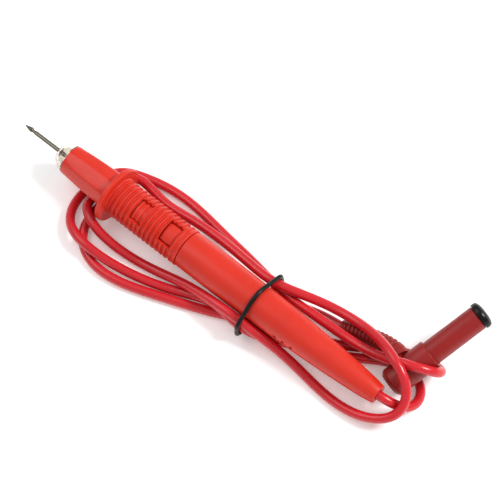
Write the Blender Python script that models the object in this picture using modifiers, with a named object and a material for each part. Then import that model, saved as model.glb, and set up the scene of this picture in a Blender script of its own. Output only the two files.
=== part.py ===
"""Multimeter test lead: probe with a sliding front sleeve, cable wound round it as a hank, right-angle shrouded 4 mm plug.

Row frame, in millimetres here and metres in the scene: the needle points to -X, the probe's axis is y = 0, z = 11.8,
and the origin is the bottom centre of the probe's box. Z is up.
"""

import math

import bpy
import numpy as np

for old in list(bpy.data.objects):
    bpy.data.objects.remove(old, do_unlink=True)

MM = 0.001

# ---- driving dimensions, mm ----
AXIS_Z = 11.8  # the flange stands on the table, so its radius is the axis height
ROLL = 14.5  # the latch side leans this many degrees towards -Y
TIP_X = -88.5
TAIL_X = 88.4
NEEDLE_R = 0.86
NEEDLE_HEAD_R = 1.02
NOSE_X = -70.3
NOSE_OPENING_R = 1.6
BARREL_FRONT_X, BARREL_FRONT_R = -64.6, 6.25
BARREL_BACK_X, BARREL_BACK_R = -42.3, 7.72
FLANGE_X, FLANGE_T, FLANGE_R = -41.9, 2.0, 11.8
RIB_TOP_R, RIB_ROOT_R, RIB_COUNT = 8.0, 7.3, 14
GRIP_END_X = -5.0
BORE_R = 6.0
TUBE_R, TUBE_IN_R = 5.7, 4.6
CHANNEL_R = 6.95
KEY_R = 6.75
WINDOWS = ((-29.2, -23.4), (-14.7, -8.9))
LATCH_PIVOT_X = -4.0
LATCH_PIVOT_R = 5.1
CORD_R = 1.9
CORD_CLEAR = 0.25
BAND_X = 30.45
BAND_WIRE_R = 0.85
SEAM_TILT = -16.5
PLUG_BACK = (87.8, 7.6, 6.3)
PLUG_DIR = (0.2748, 0.8996, 0.3394)
ARM_DIR = (-0.9564, 0.2921, 0.0)
ARM_AT = 9.0
PLUG_R, PLUG_LEN = 5.8, 19.4
SHROUD_R, SHROUD_IN_R, SHROUD_END = 4.85, 3.6, 41.8
CAP_R, CAP_END = 5.35, 45.2

# ---- colours ----
RED = (0.76, 0.028, 0.012, 1)
CORD_RED = (0.55, 0.015, 0.024, 1)
PLUG_RED = (0.36, 0.012, 0.010, 1)
BLACK = (0.012, 0.014, 0.012, 1)
DARK = (0.05, 0.05, 0.05, 1)
CLEAR = (0.75, 0.78, 0.78, 1)
STEEL = (0.62, 0.62, 0.62, 1)
BRASS = (0.72, 0.50, 0.20, 1)
WHITE = (0.80, 0.80, 0.78, 1)
COPPER = (0.72, 0.34, 0.20, 1)

lead = bpy.data.collections.new("test_lead")
cutters = bpy.data.collections.new("cutters")
bpy.context.scene.collection.children.link(lead)
bpy.context.scene.collection.children.link(cutters)
cutters.hide_render = True


def empty(name, at, rotation=(0, 0, 0), parent=None):
    e = bpy.data.objects.new(name, None)
    e.location = [v * MM for v in at]
    e.rotation_mode = "XYZ"
    e.rotation_euler = rotation
    e.parent = parent
    lead.objects.link(e)
    return e


def material(obj, colour, metallic=0.0, roughness=0.45):
    m = bpy.data.materials.new(obj.name)
    m.use_nodes = True
    shader = m.node_tree.nodes["Principled BSDF"]
    shader.inputs["Base Color"].default_value = colour
    shader.inputs["Metallic"].default_value = metallic
    shader.inputs["Roughness"].default_value = roughness
    obj.data.materials.append(m)


def finish(obj, colour, metallic, roughness):
    obj.data.shade_smooth()
    obj.data.set_sharp_from_angle(angle=math.radians(35))
    material(obj, colour, metallic, roughness)


def link(name, data, parent, cutter=False):
    obj = bpy.data.objects.new(name, data)
    obj.parent = parent
    (cutters if cutter else lead).objects.link(obj)
    if cutter:
        obj.hide_render = True
        obj.display_type = "WIRE"
    return obj


def lathe(name, profile, steps, parent, colour=None, metallic=0.0, roughness=0.45, closed=False, along_x=True):
    """A turned piece: (radius, place along the axis) in mm. An open profile starts and ends on the axis."""
    area = sum(
        a[0] * b[1] - b[0] * a[1]
        for a, b in zip(profile, list(profile[1:]) + [profile[0]])
    )
    pts = list(profile) if area < 0 else list(profile)[::-1]
    edges = [(i, i + 1) for i in range(len(pts) - 1)]
    if closed:
        edges.append((len(pts) - 1, 0))
    mesh = bpy.data.meshes.new(name)
    mesh.from_pydata([(r * MM, 0, a * MM) for r, a in pts], edges, [])
    obj = link(name, mesh, parent, colour is None)
    if along_x:
        obj.rotation_euler = (0, math.pi / 2, 0)
    turn = obj.modifiers.new("turn", "SCREW")
    turn.axis = "Z"
    turn.angle = 2 * math.pi
    turn.steps = turn.render_steps = steps
    turn.use_merge_vertices = True
    turn.merge_threshold = 0.00001
    turn.use_smooth_shade = True
    if colour is not None:
        material(obj, colour, metallic, roughness)
    return obj


def box(name, low, high, parent, rotation=(0, 0, 0)):
    (x0, y0, z0), (x1, y1, z1) = low, high
    cx, cy, cz = (x0 + x1) / 2, (y0 + y1) / 2, (z0 + z1) / 2
    hx, hy, hz = (x1 - x0) / 2, (y1 - y0) / 2, (z1 - z0) / 2
    verts = [(sx * hx * MM, sy * hy * MM, sz * hz * MM) for sx in (-1, 1) for sy in (-1, 1) for sz in (-1, 1)]
    faces = [(0, 1, 3, 2), (4, 6, 7, 5), (0, 4, 5, 1), (2, 3, 7, 6), (0, 2, 6, 4), (1, 5, 7, 3)]
    mesh = bpy.data.meshes.new(name)
    mesh.from_pydata(verts, [], faces)
    obj = link(name, mesh, parent, True)
    obj.location = (cx * MM, cy * MM, cz * MM)
    obj.rotation_euler = rotation
    return obj


def sector(name, x0, x1, r0, r1, half_deg, parent, colour=None, steps=10, roughness=0.5):
    """A curved block round the X axis, centred on the latch side (+Z of the rolled frame)."""
    verts, faces = [], []
    angles = [math.radians(-half_deg + 2 * half_deg * i / steps) for i in range(steps + 1)]
    for a in angles:
        s, c = math.sin(a), math.cos(a)
        for x, r in ((x0, r0), (x1, r0), (x1, r1), (x0, r1)):
            verts.append((x * MM, r * s * MM, r * c * MM))
    for i in range(steps):
        b = 4 * i
        for k in range(4):
            j = (k + 1) % 4
            faces.append((b + k, b + j, b + 4 + j, b + 4 + k))
    faces.append((3, 2, 1, 0))
    last = 4 * steps
    faces.append((last, last + 1, last + 2, last + 3))
    mesh = bpy.data.meshes.new(name)
    mesh.from_pydata(verts, [], faces)
    obj = link(name, mesh, parent, colour is None)
    points = np.array(verts)
    tri = [(f[0], f[i], f[i + 1]) for f in faces for i in range(1, len(f) - 1)]
    volume = sum(np.dot(points[a], np.cross(points[b], points[c])) for a, b, c in tri)
    if volume < 0:
        mesh.flip_normals()
    if colour is not None:
        finish(obj, colour, 0.0, roughness)
    return obj


def boolean(obj, other, operation="DIFFERENCE"):
    m = obj.modifiers.new(operation.lower() + "_" + other.name, "BOOLEAN")
    m.operation = operation
    m.solver = "EXACT"
    m.object = other
    return m


def direction_rotation(d):
    """Euler angles that turn +Z onto d."""
    x, y, z = d
    return (0, math.acos(max(-1, min(1, z))), math.atan2(y, x))


def tube(name, points, radius, colour=None, sides=2, radii=None, cyclic=False, roughness=0.4):
    curve = bpy.data.curves.new(name, "CURVE")
    curve.dimensions = "3D"
    curve.bevel_depth = radius * MM
    curve.bevel_resolution = sides
    curve.use_fill_caps = not cyclic
    spline = curve.splines.new("POLY")
    spline.points.add(len(points) - 1)
    for i, p in enumerate(points):
        spline.points[i].co = (p[0] * MM, p[1] * MM, p[2] * MM, 1)
        spline.points[i].radius = 1.0 if radii is None else radii[i] / radius
    spline.use_cyclic_u = cyclic
    spline.use_smooth = True
    obj = link(name, curve, None, colour is None)
    if colour is not None:
        material(obj, colour, 0.0, roughness)
    return obj


def solid_from_curve(obj, name, colour=None, roughness=0.5):
    """The curve as a mesh with its caps joined; the curve is removed."""
    import bmesh

    bpy.context.view_layer.update()
    graph = bpy.context.evaluated_depsgraph_get()
    mesh = bpy.data.meshes.new_from_object(obj.evaluated_get(graph))
    matrix = obj.matrix_world.copy()
    bpy.data.objects.remove(obj, do_unlink=True)
    bm = bmesh.new()
    bm.from_mesh(mesh)
    bmesh.ops.remove_doubles(bm, verts=bm.verts, dist=1e-6)
    bmesh.ops.recalc_face_normals(bm, faces=bm.faces)
    bm.to_mesh(mesh)
    bm.free()
    mesh.materials.clear()
    made = link(name, mesh, None, colour is None)
    made.matrix_world = matrix
    if colour is not None:
        finish(made, colour, 0.0, roughness)
    return made


# ---- the cable's way, mm: chosen points, then relaxed so that strands lie side by side ----
ROUTE = [
    (59, 15.3, 4.8), (50.7, 15.0, 3), (42.8, 13.0, 2.6), (30.45, 8.0, 4.7), (22, 7.6, 3.2), (10, 8.2, 2), (-5, 8.4, 2),
    (-20, 7.4, 2), (-29, 6.6, 2), (-35, 7.4, 2), (-38.7, 9.4, 2), (-41.0, 10.2, 1.95), (-44.4, 9.4, 1.95), (-47.6, 6.8, 2),
    (-49.7, 3.4, 2), (-50.1, -0.5, 2), (-50.4, -4.5, 2.4), (-50.2, -8.4, 4.2), (-48.8, -10.9, 6.0), (-46, -12.2, 6.3),
    (-41, -13, 5.6), (-33.5, -14.2, 4), (-24.8, -13.6, 2.2), (-13.5, -12, 2.2), (0.2, -10.2, 4.8), (7.5, -9.8, 7.2),
    (14.8, -9.8, 9), (22, -9.7, 10), (30.45, -9.5, 10.3),
    (39.2, -8.2, 8), (47.7, -7.8, 5), (57.5, -7.8, 2.5), (70, -9.4, 2), (80, -9.2, 2.5), (87.5, -7.9, 4.2),
    (93, -5.6, 6.4), (96.6, -2.4, 8.6), (98, 1.5, 10.2), (97.6, 5, 11.6), (95.8, 8.2, 14.2), (91.5, 11, 18.5),
    (85.5, 13, 19.3), (78, 15.6, 16.5), (70.4, 17.4, 13.6), (60.2, 18.3, 9.5), (51.3, 17.3, 9.5), (39.6, 13.6, 11),
    (34.2, 10.6, 12), (30.45, 9.7, 12.6),
    (25.8, 10, 12.3), (15.9, 11.2, 11), (6.3, 11.9, 9.5), (-1.9, 12.7, 8), (-9.4, 12.6, 7), (-19.7, 12.6, 5),
    (-29.4, 11.4, 4.2), (-34.5, 10.7, 5.0), (-37.8, 11.6, 5.5), (-41.0, 12.9, 5.6), (-44.2, 11.4, 5.9), (-45.8, 8.2, 5.0),
    (-45.9, 5.0, 3.2), (-45.9, 1.8, 2.1), (-46.0, -2, 2), (-46.6, -6, 2),
    (-47.2, -10, 2), (-47.2, -14, 2), (-45.4, -17.4, 2), (-41.8, -19.9, 2), (-38, -22.4, 2), (-34.8, -24.2, 2),
    (-30.5, -25, 2), (-23, -24.8, 2), (-14.6, -22.7, 2), (-3, -18.5, 2), (8.2, -13.9, 2), (15, -11.2, 2),
    (23, -7.5, 2.6), (30.45, -5.5, 4.25),
    (36, -3, 2.4), (42, 0.5, 2), (48, 3.2, 2), (54, 6, 2), (60, 8.8, 2), (66, 11.8, 2), (71, 15.2, 2), (75.5, 19.2, 2),
    (81, 22.8, 2), (86.5, 24.8, 2), (91, 25.8, 2), (95, 26, 2.7), (98.2, 25.6, 5.4), (100.4, 24.2, 9.3),
    (101.2, 21.6, 13.4), (99.2, 18.4, 16.6),
    (94.5, 15.8, 16.8), (88, 13.1, 15.6), (81, 12.4, 12.6), (74.3, 12.3, 10.2), (65.8, 11.5, 8.8), (56.2, 11.3, 8.5),
    (41.8, 10.9, 8.5), (30.45, 11.1, 8.4),
    (21, 12.4, 8.2), (14.6, 14, 7.5), (3.5, 15.1, 6), (-8.9, 17.8, 4), (-20.2, 19, 2.5), (-30.6, 19.1, 2),
    (-38.6, 16.8, 2), (-42.0, 14.9, 1.95), (-45.2, 13.4, 2), (-48.4, 10.5, 2), (-51.4, 6.6, 2), (-53.8, 1.6, 2),
    (-55.0, -5, 2), (-55.0, -10.8, 2), (-53.5, -15.6, 2.2), (-49.8, -18.2, 3.4), (-43.9, -21.1, 5.6), (-38, -22.2, 6.1),
    (-32.5, -21.8, 5), (-28, -20.8, 3.4), (-19, -18.9, 2.4), (-9.4, -16.7, 2.2), (0, -13.1, 2), (8, -9.9, 2.9),
    (14, -8.7, 4.8), (20, -9.2, 6.2), (30.45, -9.4, 6.1),
    (37, -7, 3.8), (44, -3.2, 2), (52, 0.2, 2), (60, 3.8, 2), (67, 7.2, 2), (73.5, 11.5, 2), (79, 15.6, 2),
    (84.5, 18.6, 2), (90, 19.4, 2), (94.6, 18, 2), (98.2, 16.2, 2), (101.2, 13.6, 2), (102.4, 10.5, 2), (101.6, 7.6, 2),
    (99.6, 5.2, 3), (97.4, 3.4, 5.6), (95, 1.8, 8.8), (92, 0.5, 11.2), (88.8, 0, 11.8),
]
# the probe's outline, (place along X, radius), and the plug as thick lines, all kept clear of
PROBE = [
    (-71, 0), (-71, 1.7), (-66.0, 7.75), (-41.9, 7.75), (-41.9, 11.8), (-39.9, 11.8), (-39.9, 8.05), (-5.0, 8.0),
    (-4.7, 7.75), (10, 7.75), (24, 7.65), (36, 7.4), (48, 7.0), (58, 6.5), (68, 5.95), (78, 5.2), (84, 4.6), (87.0, 4.1),
]
P0 = np.array(PLUG_BACK)
DS = np.array(PLUG_DIR) / np.linalg.norm(PLUG_DIR)
DA = np.array(ARM_DIR) / np.linalg.norm(ARM_DIR)
ARM = P0 + DS * ARM_AT
BOOT = [
    (tuple(ARM + DA * 4.0), 4.5), ((84.5, 17.5, 9.4), 4.3), ((78, 18.4, 9.2), 3.9), ((72, 18.0, 8.2), 3.4),
    ((66, 16.9, 6.6), 3.0), ((59, 15.3, 4.8), 2.6),
]


def even(p, count):
    run = np.concatenate([[0], np.cumsum(np.linalg.norm(np.diff(p, axis=0), axis=1))])
    at = np.linspace(0, run[-1], count)
    return np.stack([np.interp(at, run, p[:, k]) for k in range(3)], 1)


def length_of(p):
    return float(np.linalg.norm(np.diff(p, axis=0), axis=1).sum())


def through(points, per=16):
    """A smooth curve through the points."""
    p = np.asarray(points, float)
    q = np.vstack([2 * p[0] - p[1], p, 2 * p[-1] - p[-2]])
    out = []
    for i in range(1, len(p)):
        a, b, c, d = q[i - 1], q[i], q[i + 1], q[i + 2]
        for t in np.arange(per) / per:
            out.append(0.5 * (2 * b + (c - a) * t + (2 * a - 5 * b + 4 * c - d) * t * t + (3 * b - a - 3 * c + d) * t**3))
    out.append(p[-1])
    return np.array(out)


def away_from_line(c, a, b, need):
    a, b = np.asarray(a, float), np.asarray(b, float)
    ab = b - a
    t = np.clip(((c - a) @ ab) / (ab @ ab), 0, 1)
    v = c - a - t[:, None] * ab
    d = np.linalg.norm(v, axis=1) + 1e-9
    return v / d[:, None] * np.maximum(0, need - d)[:, None]


def probe_samples():
    xs, rs = [], []
    for (x0, r0), (x1, r1) in zip(PROBE, PROBE[1:]):
        k = max(2, int(math.hypot(x1 - x0, r1 - r0) / 0.4))
        for q in np.arange(k) / k:
            xs.append(x0 + (x1 - x0) * q)
            rs.append(r0 + (r1 - r0) * q)
    return np.array(xs), np.array(rs)


def away_from_probe(c, need, xs, rs):
    y, z = c[:, 1], c[:, 2] - AXIS_Z
    rho = np.hypot(y, z) + 1e-9
    dist = np.hypot(xs[None] - c[:, 0:1], rs[None] - rho[:, None])
    k = dist.argmin(1)
    d = dist[np.arange(len(c)), k]
    wall = np.zeros(len(c))
    for (x0, r0), (x1, r1) in zip(PROBE, PROBE[1:]):
        if x1 > x0:
            m = (c[:, 0] >= x0) & (c[:, 0] <= x1)
            wall[m] = np.maximum(wall[m], r0 + (r1 - r0) * (c[m, 0] - x0) / (x1 - x0))
    sign = np.where(rho < wall, -1.0, 1.0)
    m = np.maximum(0, need - sign * d)
    gx = sign * (c[:, 0] - xs[k]) / (d + 1e-9)
    gr = sign * (rho - rs[k]) / (d + 1e-9)
    return np.stack([gx * m, gr * m * y / rho, gr * m * z / rho], 1)


def relaxed(route, rounds=500, step=2.5):
    c = through(route)
    n = int(round(length_of(c) / step)) + 1
    c = even(c, n)
    start = c.copy()
    index = np.arange(n)
    apart = np.abs(index[:, None] - index[None]) * step > 13.0
    held = np.zeros(n, bool)
    held[:3] = held[-3:] = True
    xs, rs = probe_samples()
    radius = 1.95
    hold = 0.012 + 0.05 * np.exp(-(((start[:, 0:1] - BAND_X) / 5.0) ** 2))
    for turn in range(rounds):
        fade = 1 - turn / rounds
        bend = np.zeros_like(c)
        bend[2:-2] = c[:-4] - 4 * c[1:-3] + 6 * c[2:-2] - 4 * c[3:-1] + c[4:]
        move = -0.05 * bend + hold * fade**2 * (start - c)
        v = c[:, None] - c[None]
        d = np.linalg.norm(v, axis=2) + 1e-9
        need = 2 * radius + CORD_CLEAR + 0.05
        w = np.where(apart & (d < need), (need - d) / d, 0)
        move += 0.35 * (w[:, :, None] * v).sum(1)
        push = away_from_probe(c, radius + CORD_CLEAR, xs, rs)
        push[-6:] = 0
        move += 0.7 * push
        for a, b, r in ((P0 + DS * 1.5, P0 + DS * PLUG_LEN, PLUG_R), (P0 + DS * PLUG_LEN, P0 + DS * 43, SHROUD_R)):
            move += 0.7 * away_from_line(c, a, b, r + radius + CORD_CLEAR)
        for (a, ra), (b, rb) in zip(BOOT, BOOT[1:]):
            push = away_from_line(c, a, b, max(ra, rb) + radius + CORD_CLEAR - 0.2)
            push[:4] = 0
            move += 0.7 * push
        low = radius + 0.05 + 2.1 * np.exp(-(((c[:, 0] - BAND_X) / 5.0) ** 2))  # the band passes under the strands
        move[:, 2] += 0.8 * np.maximum(0, low - c[:, 2] - move[:, 2])
        move[held] = 0
        c = c + np.clip(move, -0.6, 0.6)
        if turn % 10 == 0 and turn < rounds - 60:
            e = even(c, n)
            e[held] = c[held]
            c = e
    return c


def thinned(p, allow):
    """Fewer points, none further than allow from the line that is left."""
    keep = [0, len(p) - 1]
    work = [(0, len(p) - 1)]
    while work:
        i, j = work.pop()
        if j - i < 2:
            continue
        ab = p[j] - p[i]
        t = np.clip(((p[i:j + 1] - p[i]) @ ab) / (ab @ ab + 1e-12), 0, 1)
        off = np.linalg.norm(p[i:j + 1] - p[i] - t[:, None] * ab, axis=1)
        k = int(off.argmax()) + i
        if off.max() > allow or length_of(p[i:j + 1]) > 11.0:
            if off.max() <= allow:
                k = (i + j) // 2
            keep.append(k)
            work += [(i, k), (k, j)]
    return p[sorted(set(keep))]


def boot_way(start):
    """The middle of the boot, from a distance along the arm to the boot's thin end."""
    return through([tuple(ARM + DA * start), tuple(ARM + DA * 6.1), tuple(ARM + DA * 8.6)] + [b[0] for b in BOOT[2:]], 12)


def cord_points():
    """The whole cable from the plug's terminal to its end inside the handle."""
    return np.vstack([boot_way(3.6)[:-1], relaxed(ROUTE), [[84, 0, AXIS_Z], [76, 0, AXIS_Z], [64, 0, AXIS_Z]]])


def split_at_band(p, gap=0.3):
    """The cable in six lengths, parted where it passes through the band."""
    runs, current = [], [p[0]]
    for a, b in zip(p, p[1:]):
        if (a[0] - BAND_X) * (b[0] - BAND_X) < 0:
            t = (BAND_X - a[0]) / (b[0] - a[0])
            at = a + (b - a) * t
            along = (b - a) / np.linalg.norm(b - a)
            current = [q for q in current if np.linalg.norm(q - at) > 0.8]
            current.append(at - along * gap / 2)
            runs.append(np.array(current))
            current = [at + along * gap / 2]
            if np.linalg.norm(b - at) > 0.8:
                current.append(b)
        elif len(current) != 1 or np.linalg.norm(b - current[0]) > 0.8:
            current.append(b)
    runs.append(np.array(current))
    return runs


# ---- frames ----
probe = empty("probe_axis", (0, 0, AXIS_Z), (math.radians(ROLL), 0, 0))
sleeve = empty("sleeve_slide", (0, 0, 0), (0, 0, 0), probe)
seam = empty("seam", (0, 0, 0), (math.radians(SEAM_TILT), 0, 0), probe)
latch = empty("latch_press", (LATCH_PIVOT_X, 0, LATCH_PIVOT_R), (0, 0, 0), sleeve)
plug = empty("plug_axis", PLUG_BACK, direction_rotation(tuple(DS)))
arm = empty("arm_axis", tuple(ARM), direction_rotation(tuple(DA)))

# ---- needle and what holds it ----
lathe(
    "needle",
    [(0, TIP_X), (0.25, -88.2), (NEEDLE_HEAD_R, -85.4), (0.95, -84.9), (0.66, -84.3), (0.66, -83.6), (NEEDLE_R, -82.9),
     (NEEDLE_R, -24.0), (0.5, -23.7), (0, -23.7)],
    20, probe, STEEL, 1.0, 0.25,
)
lathe(
    "needle_insulator",
    [(1.05, -61.5), (2.2, -61.5), (2.2, -27.0), (2.8, -27.0), (2.8, -20.5), (2.4, -20.5), (2.4, -26.0), (1.05, -26.0)],
    24, probe, DARK, 0.0, 0.5, closed=True,
)
lathe(
    "contact_holder",
    [(0, -22.2), (1.05, -22.8), (1.05, -25.4), (2.1, -25.4), (2.1, 2.2), (4.6, 2.2), (4.6, 4.2), (2.1, 4.2), (2.1, 9.5),
     (0.95, 9.5), (0.95, 2.0), (0, 2.0)],
    24, probe, BRASS, 1.0, 0.35,
)
lathe("conductor", [(0, 2.4), (0.6, 2.4), (0.6, 63.5), (0, 63.5)], 12, probe, COPPER, 1.0, 0.4)
lathe(
    "cable_clamp",
    [(2.15, 66.2), (3.0, 66.2), (3.0, 70.2), (2.15, 70.2)],
    24, probe, STEEL, 1.0, 0.4, closed=True,
)

# ---- sliding sleeve ----
lathe(
    "nose_cone",
    [(NOSE_OPENING_R, NOSE_X + 0.3), (2.2, NOSE_X), (3.3, NOSE_X + 0.45), (4.3, NOSE_X + 1.5), (5.1, NOSE_X + 2.8),
     (5.65, NOSE_X + 4.0), (6.0, NOSE_X + 5.1), (6.05, -64.9), (4.9, -64.9), (4.9, -61.0), (3.9, -61.0), (3.9, -65.6),
     (3.4, -67.2), (2.6, -68.5), (NOSE_OPENING_R, NOSE_X + 1.0)],
    32, sleeve, CLEAR, 0.0, 0.15, closed=True,
)
lathe(
    "front_barrel",
    [(5.2, BARREL_FRONT_X), (BARREL_FRONT_R, BARREL_FRONT_X), (6.6, -62.0), (7.1, -57.0), (7.5, -51.0), (7.68, -46.0),
     (BARREL_BACK_R, -43.2), (7.55, BARREL_BACK_X), (5.95, BARREL_BACK_X), (5.95, -58.3), (5.2, -58.3)],
    36, sleeve, RED, 0.0, 0.4, closed=True,
)
slider = lathe(
    "slider_tube",
    [(TUBE_IN_R, -58.0), (TUBE_R, -58.0), (TUBE_R, 0.0), (TUBE_IN_R, 0.0)],
    36, sleeve, RED, 0.0, 0.5, closed=True,
)
boolean(slider, sector("join_key", -29.0, -23.6, 5.2, KEY_R, 36.0, sleeve, steps=12), "UNION")
boolean(slider, box("cut_latch_slot", (-15.1, -4.2, 1.6), (-2.6, 4.2, 7.0), sleeve))
tongue = sector("latch_tongue", -14.8 - LATCH_PIVOT_X, -2.9 - LATCH_PIVOT_X, 4.72, 5.58, 43.5, latch, RED, 14)
pad = sector("join_latch_pad", -14.5 - LATCH_PIVOT_X, -9.1 - LATCH_PIVOT_X, 5.2, KEY_R, 34.0, latch)
for piece in (tongue, pad):
    for v in piece.data.vertices:
        v.co.z -= LATCH_PIVOT_R * MM
boolean(tongue, pad, "UNION")

# ---- fixed grip with flange, ribs and two windows ----
grip_profile = [(BORE_R, FLANGE_X), (11.3, FLANGE_X), (FLANGE_R, FLANGE_X + 0.5), (FLANGE_R, FLANGE_X + FLANGE_T - 0.5),
                (11.3, FLANGE_X + FLANGE_T), (RIB_TOP_R, FLANGE_X + FLANGE_T)]
first, pitch = FLANGE_X + FLANGE_T + 0.35, 2.19
for i in range(RIB_COUNT):
    x = first + i * pitch
    grip_profile += [(RIB_TOP_R, x + 1.25), (RIB_ROOT_R, x + 1.5), (RIB_ROOT_R, x + 1.95), (RIB_TOP_R, x + pitch)]
grip_profile += [(7.5, -8.6), (7.5, -8.3), (8.0, -8.0), (8.0, -7.3), (7.5, -7.0), (7.5, -6.3), (8.0, -6.0),
                 (8.0, -5.3), (7.6, GRIP_END_X), (BORE_R, GRIP_END_X)]
grip = lathe("grip_housing", grip_profile, 36, probe, RED, 0.0, 0.45, closed=True)
boolean(grip, sector("cut_channel", -45.0, -8.6, 4.0, CHANNEL_R, 38.5, probe, steps=12))
for i, (x0, x1) in enumerate(WINDOWS):
    boolean(grip, sector(f"cut_window_{i + 1}", x0, x1, 4.2, 10.0, 39.5, probe, steps=12))

# ---- two-piece handle ----
handle_profile = [
    (BORE_R, -4.7), (7.7, -4.7), (7.7, 10), (7.62, 24), (7.37, 36), (6.97, 48), (6.47, 58), (5.92, 68), (5.17, 78),
    (4.55, 84), (3.85, TAIL_X), (2.3, TAIL_X), (2.3, 74.0), (3.3, 73.0), (3.3, 63.5), (4.2, 60), (5.5, 48), (5.6, 10.5),
    (2.45, 10.5), (2.45, 4.6), (4.95, 4.6), (4.95, 1.8), (BORE_R, 1.8),
]
clips = [box(f"cut_clip_{i + 1}", (x, -9, -0.4), (x + 1.3, -6.0, 1.25), seam) for i, x in enumerate((43.6, 47.3, 51.1))]
upper = lathe("handle_shell_upper", handle_profile, 40, probe, RED, 0.0, 0.42, closed=True)
boolean(upper, box("keep_upper", (-12, -12, 0.1), (96, 12, 14), seam), "INTERSECT")
for clip in clips:
    boolean(upper, clip)
lower = lathe("handle_shell_lower", handle_profile, 40, probe, RED, 0.0, 0.42, closed=True)
boolean(lower, box("keep_lower", (-12, -12, -14), (96, 12, -0.1), seam), "INTERSECT")

# ---- cable ----
cord = cord_points()
runs = split_at_band(cord)
for i, run in enumerate(runs):
    tube(f"cable_run_{i + 1}", thinned(run, 0.09), CORD_R, CORD_RED, 2)

# ---- band round the hank ----
circles = [(0.0, AXIS_Z, 7.5)]
for a, b in zip(cord, cord[1:]):
    if (a[0] - BAND_X) * (b[0] - BAND_X) < 0:
        at = a + (b - a) * (BAND_X - a[0]) / (b[0] - a[0])
        circles.append((at[1], at[2], 1.95 + 0.1))
ring = []
for k in range(360):
    u = np.array([math.cos(math.radians(k)), math.sin(math.radians(k))])
    y, z, r = max(circles, key=lambda c: c[0] * u[0] + c[1] * u[1] + c[2])
    ring.append((BAND_X, y + u[0] * (r + 0.15 + BAND_WIRE_R), z + u[1] * (r + 0.15 + BAND_WIRE_R)))
ring = even(np.array(ring + [ring[0]]), 49)[:-1]
tube("tie_ring", ring, BAND_WIRE_R, BLACK, 2, cyclic=True, roughness=0.6)

# ---- right-angle plug ----
body = lathe(
    "plug_body",
    [(0, 0), (3.9, 0), (4.9, 0.35), (5.45, 1.0), (PLUG_R, 2.0), (PLUG_R, PLUG_LEN - 0.35), (PLUG_R - 0.25, PLUG_LEN),
     (5.05, PLUG_LEN), (5.05, 5.0), (0, 5.0)],
    32, plug, PLUG_RED, 0.0, 0.45, along_x=False,
)
arm_bore = lathe("cut_arm_bore", [(0, -1.0), (2.9, -1.0), (2.9, 8.0), (0, 8.0)], 20, arm, along_x=False)
boolean(body, arm_bore)
lathe(
    "plug_shroud",
    [(SHROUD_IN_R, 13.2), (SHROUD_R, 13.2), (SHROUD_R, SHROUD_END - 0.3), (SHROUD_R - 0.3, SHROUD_END),
     (SHROUD_IN_R, SHROUD_END)],
    32, plug, PLUG_RED, 0.0, 0.4, closed=True, along_x=False,
)
lathe(
    "plug_insert",
    [(2.15, 13.4), (3.3, 13.4), (3.3, 25.0), (2.15, 25.0)],
    24, plug, DARK, 0.0, 0.5, closed=True, along_x=False,
)
lathe(
    "plug_pin",
    [(0, 12.0), (1.9, 12.0), (1.9, 25.5), (1.3, 26.0), (1.3, 38.0), (1.85, 38.5), (1.85, 39.6), (1.2, 40.4), (0, 40.4)],
    20, plug, BRASS, 1.0, 0.3, along_x=False,
)
spring = lathe(
    "plug_spring",
    [(1.5, 26.4), (1.7, 26.4), (1.92, 29.5), (2.0, 32.0), (1.92, 34.5), (1.7, 37.7), (1.5, 37.7), (1.72, 34.5),
     (1.8, 32.0), (1.72, 29.5)],
    32, plug, BRASS, 1.0, 0.3, closed=True, along_x=False,
)
for i in range(3):
    boolean(spring, box(f"cut_spring_{i + 1}", (-3, -0.3, 28.0), (3, 0.3, 36.2), plug, (0, 0, math.radians(60 * i + 7))))
lathe(
    "plug_terminal",
    [(0, -1.6), (1.5, -1.6), (1.5, 2.9), (0, 2.9)],
    16, arm, BRASS, 1.0, 0.35, along_x=False,
)
cap = empty("cap_pull", (0, 0, SHROUD_END + 0.3), (0, 0, 0), plug)
lathe(
    "plug_cap",
    [(0, 0), (2.5, 0), (2.5, -4.6), (3.3, -4.6), (3.3, 0), (CAP_R - 0.2, 0), (CAP_R, 0.3), (CAP_R, 1.4), (5.0, 2.1),
     (4.0, 2.7), (2.2, 3.05), (0, 3.1)],
    32, cap, BLACK, 0.0, 0.45, along_x=False,
)

# ---- ribbed boot ----
way = even(boot_way(3.6)[12:], 46)
base = np.interp(np.linspace(0, 1, 46), [0, 0.12, 0.35, 0.58, 0.8, 1.0], [4.35, 4.3, 3.9, 3.4, 3.0, 2.75])
radii = [float(r) - (0.45 if 8 < i < 43 and i % 3 == 0 else 0.0) for i, r in enumerate(base)]
boot = solid_from_curve(tube("boot_curve", way, 4.0, None, 4, radii), "plug_boot", PLUG_RED, 0.5)
bore_way = np.vstack([[way[0] - DA * 1.5], way, [way[-1] + (way[-1] - way[-2]) * 1.5]])
bore = solid_from_curve(tube("bore_curve", bore_way, 2.25, None, 3), "cut_boot_bore")
boolean(boot, bore)
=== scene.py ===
"""The looks of the test lead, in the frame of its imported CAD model. Lengths are in mm until they reach a mesh."""

import math

import bmesh
import bpy
import numpy as np
from mathutils import Euler, Matrix, Vector


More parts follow.
